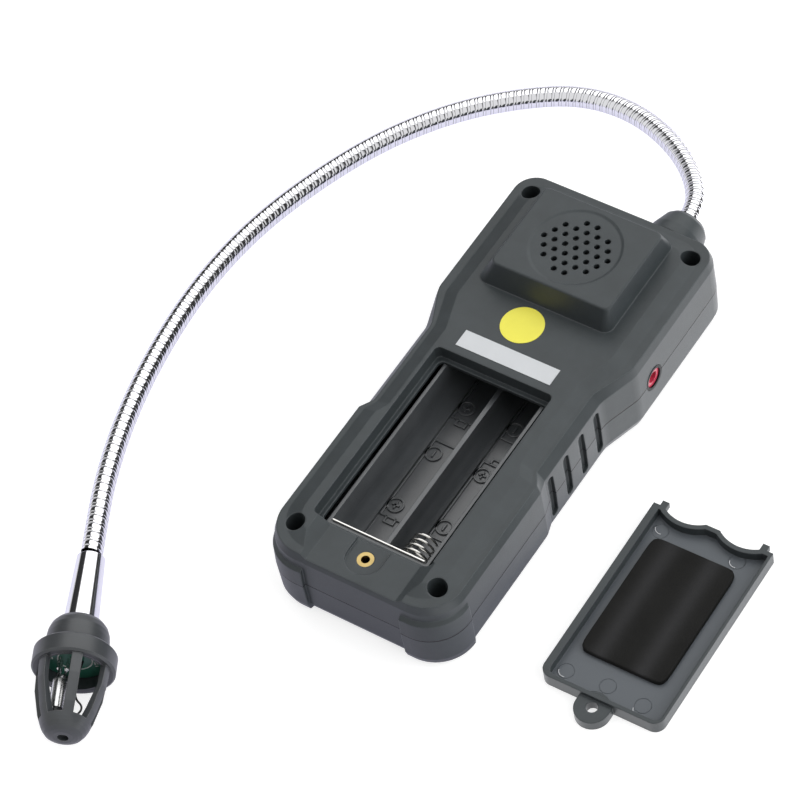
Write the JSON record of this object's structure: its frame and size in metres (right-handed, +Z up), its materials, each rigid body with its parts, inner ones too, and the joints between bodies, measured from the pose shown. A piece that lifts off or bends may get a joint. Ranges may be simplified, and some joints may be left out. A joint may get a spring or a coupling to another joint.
{
  "type": "combustible gas detector",
  "caption": "Handheld gas leak detector on its front, battery bay open, with a bent flexible neck, a caged sensor head and its battery cover beside it.",
  "frame": {"origin": "centre of the flat front face that the detector lies on, on the supporting surface", "axes": "+Z up, with the back face of the housing up; +Y along the housing toward the end that the gooseneck leaves; +X toward the side with the earphone jack"},
  "size_m": [0.1963, 0.2671, 0.0354],
  "materials": {
    "housing_grey": "fine satin moulding",
    "tray_black": "satin moulding",
    "foam_black": "soft foam",
    "nickel": "bright nickel plate",
    "brass": "turned brass",
    "screw_steel": "blackened steel",
    "speaker_steel": "pressed steel",
    "speaker_film": "thin film",
    "board_green": "solder mask",
    "window_smoke": "clear tinted plastic",
    "lamp_red": "clear dyed resin",
    "jack_pink": "gloss moulding",
    "ring_black": "gloss moulding",
    "neck_chrome": "polished chrome plate",
    "head_black": "satin moulding",
    "socket_white": "pale resin",
    "can_silver": "drawn steel",
    "button_rubber": "matt silicone",
    "sticker_yellow": "film",
    "label_white": "paper film"
  },
  "bodies": {
    "housing": {"back_shell": "housing_grey", "front_shell": "housing_grey", "battery_tray": "tray_black", "series_contact": "nickel", "battery_spring": "nickel", "far_contact_plate": "nickel", "far_spring_plate": "nickel", "far_contact_spring": "nickel", "brass_insert": "brass", "housing_screws": "screw_steel", "speaker_frame": "speaker_steel", "speaker_cone": "speaker_film", "speaker_magnet": "speaker_steel", "main_board": "board_green", "led_window": "window_smoke", "indicator_leds": "lamp_red", "earphone_jack": "jack_pink", "jack_ring": "ring_black", "neck_collar": "housing_grey", "gooseneck": "neck_chrome", "neck_ferrule": "neck_chrome", "head_cap": "head_black", "head_cage": "head_black", "sensor_board": "board_green", "sensor_socket": "socket_white", "sensor_base": "can_silver", "sensor_can": "can_silver", "battery_cover": "housing_grey", "cover_foam_pad": "foam_black", "round_sticker": "sticker_yellow", "paper_label": "label_white"},
    "power_key": {"power_button": "button_rubber"},
    "sensitivity_key": {"sensitivity_button": "button_rubber"},
    "mute_key": {"mute_button": "button_rubber"}
  },
  "joints": [
    {"name": "power_press", "type": "slide", "parent": "housing", "child": "power_key", "axis": [0, 0, 1], "range_m": [0, 0.0005], "stiffness_N_per_m": 300},
    {"name": "sensitivity_press", "type": "slide", "parent": "housing", "child": "sensitivity_key", "axis": [0, 0, 1], "range_m": [0, 0.0005], "stiffness_N_per_m": 300},
    {"name": "mute_press", "type": "slide", "parent": "housing", "child": "mute_key", "axis": [0, 0, 1], "range_m": [0, 0.0005], "stiffness_N_per_m": 300}
  ]
}
